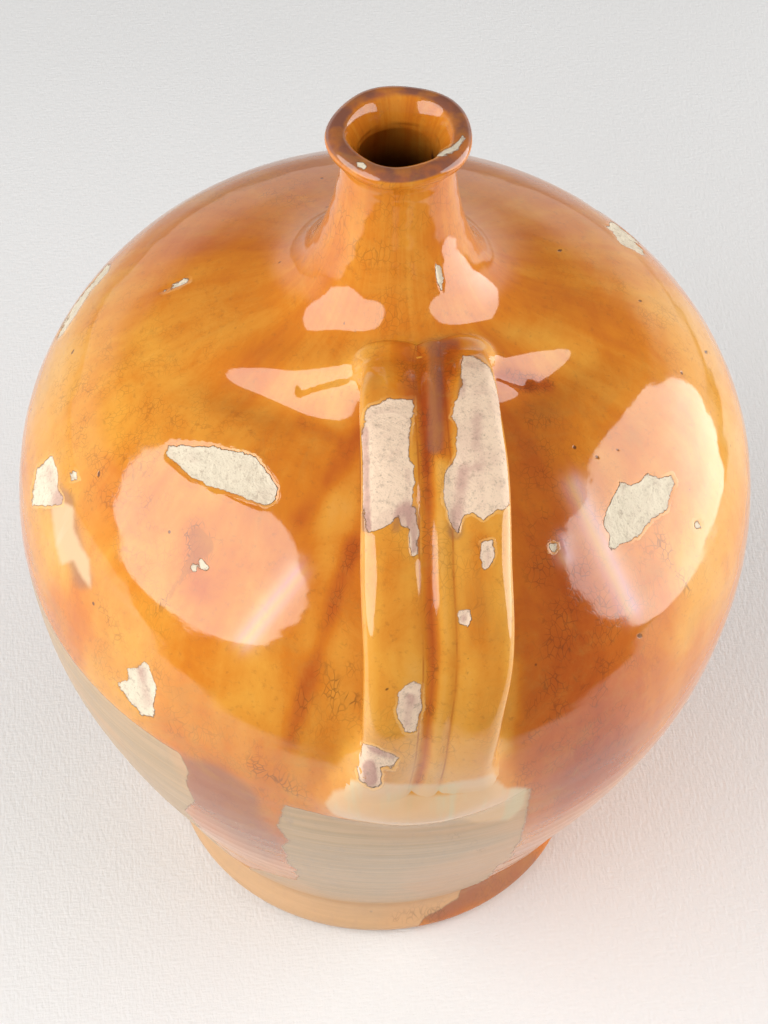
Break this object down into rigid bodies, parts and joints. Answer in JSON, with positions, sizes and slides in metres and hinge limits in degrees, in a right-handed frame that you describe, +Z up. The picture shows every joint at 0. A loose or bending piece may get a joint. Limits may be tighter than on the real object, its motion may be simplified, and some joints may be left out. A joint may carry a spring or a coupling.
{
  "type": "oil pitcher",
  "caption": "Round-bellied glazed earthenware oil pitcher with a narrow bottle neck, rolled lip, flat foot and a ribbed strap handle from neck to belly.",
  "frame": {"origin": "centre of the flat underside, on the turning axis", "axes": "+Z up along the turning axis through the mouth, handle towards -Y, +X to the right seen from the handle"},
  "size_m": [0.248, 0.258, 0.33],
  "materials": {
    "upper_wall": "gloss",
    "neck": "gloss",
    "lip": "gloss",
    "handle_strap": "gloss",
    "handle_top_wad": "gloss",
    "handle_foot_pad": "gloss",
    "foot_floor": "matte",
    "lower_wall": "matte"
  },
  "bodies": {
    "root": {"foot_floor": "foot_floor", "lower_wall": "lower_wall", "upper_wall": "upper_wall", "neck": "neck", "lip": "lip", "handle_strap": "handle_strap", "handle_top_wad": "handle_top_wad", "handle_foot_pad": "handle_foot_pad"}
  },
  "joints": []
}
